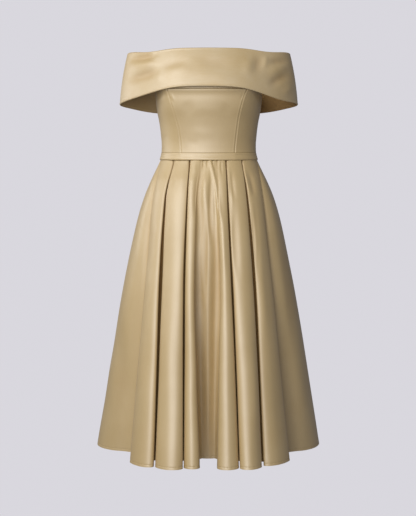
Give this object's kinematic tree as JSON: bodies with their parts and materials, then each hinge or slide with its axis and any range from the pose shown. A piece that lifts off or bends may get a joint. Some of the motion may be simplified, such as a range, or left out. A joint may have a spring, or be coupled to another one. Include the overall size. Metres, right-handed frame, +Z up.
{
  "type": "off-the-shoulder midi dress with a folded band",
  "caption": "Worn-form off-the-shoulder satin dress: folded band, fitted bodice with princess seams, waistband, flared skirt with deep soft pleats, side zip.",
  "frame": {"origin": "middle of the waistband, on the body's axis, where the wearer's waist holds the dress", "axes": "+Z up along the body, front faces -Y, wearer's left is +X"},
  "size_m": [0.596, 0.5591, 1.042],
  "materials": {
    "satin": "champagne-gold duchess satin, soft sheen",
    "band_satin": "champagne-gold duchess satin, cut across the grain, soft sheen",
    "zip_tape": "woven zip tape, dull",
    "zip_metal": "lacquered pale brass"
  },
  "bodies": {
    "dress": {"band_front": "band_satin", "band_back": "band_satin", "bodice_center_front": "satin", "bodice_side_front_left": "satin", "bodice_side_front_right": "satin", "bodice_back": "satin", "waistband_front": "satin", "waistband_back": "satin", "skirt_front": "satin", "skirt_back": "satin", "zip_tape": "zip_tape", "zip_slider": "zip_metal"},
    "zip_pull": {"zip_pull": "zip_metal"}
  },
  "joints": [
    {"name": "zip_pull_swing", "type": "hinge", "parent": "dress", "child": "zip_pull", "pos_m": [0.14673, 0.0093, 0.1815], "axis": [0, -1, 0], "range_deg": [0, 150]}
  ]
}
